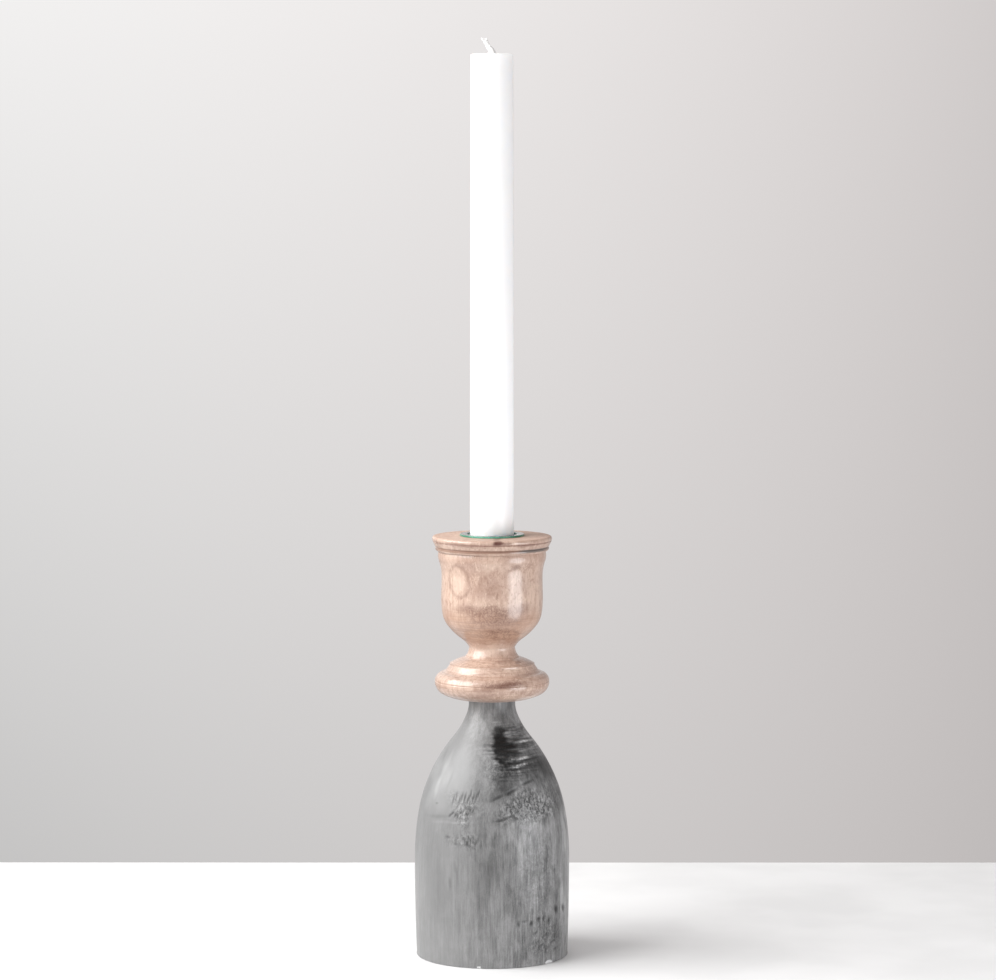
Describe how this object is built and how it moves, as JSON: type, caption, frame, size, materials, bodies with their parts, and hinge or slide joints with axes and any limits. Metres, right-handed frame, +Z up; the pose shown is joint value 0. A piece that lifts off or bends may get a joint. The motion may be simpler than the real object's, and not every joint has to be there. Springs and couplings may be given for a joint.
{
  "type": "wooden candlestick",
  "caption": "Turned wooden candlestick with a grey bell-shaped base, a pale urn-shaped cup, a drop-in glass socket and a lift-out white dinner candle.",
  "frame": {"origin": "centre of the underside, on the surface it stands on", "axes": "+Z up along the turning axis; the wick leans towards -X; the front is -Y"},
  "size_m": [0.081, 0.081, 0.4773],
  "materials": {
    "grey_stained_wood": "satin grey stain over vertical grain",
    "natural_wood": "clear semi-gloss lacquer",
    "clear_glass": "polished, green at the edges",
    "white_wax": "smooth white wax",
    "wick_cotton": "braided cotton, waxed",
    "zinc_plated_steel": "zinc plated",
    "brass": "turned",
    "felt": "wool felt"
  },
  "bodies": {
    "candlestick": {"turned_base": "grey_stained_wood", "candle_cup": "natural_wood", "threaded_rod": "zinc_plated_steel", "threaded_insert": "brass", "washer": "zinc_plated_steel", "hex_nut": "zinc_plated_steel", "felt_pad": "felt"},
    "liner": {"glass_liner": "clear_glass"},
    "taper": {"candle": "white_wax", "wick": "wick_cotton"}
  },
  "joints": [
    {"name": "liner_lift", "type": "slide", "parent": "candlestick", "child": "liner", "axis": [0, 0, 1], "range_m": [0, 0.03]},
    {"name": "candle_lift", "type": "slide", "parent": "liner", "child": "taper", "axis": [0, 0, 1], "range_m": [0, 0.03]}
  ]
}
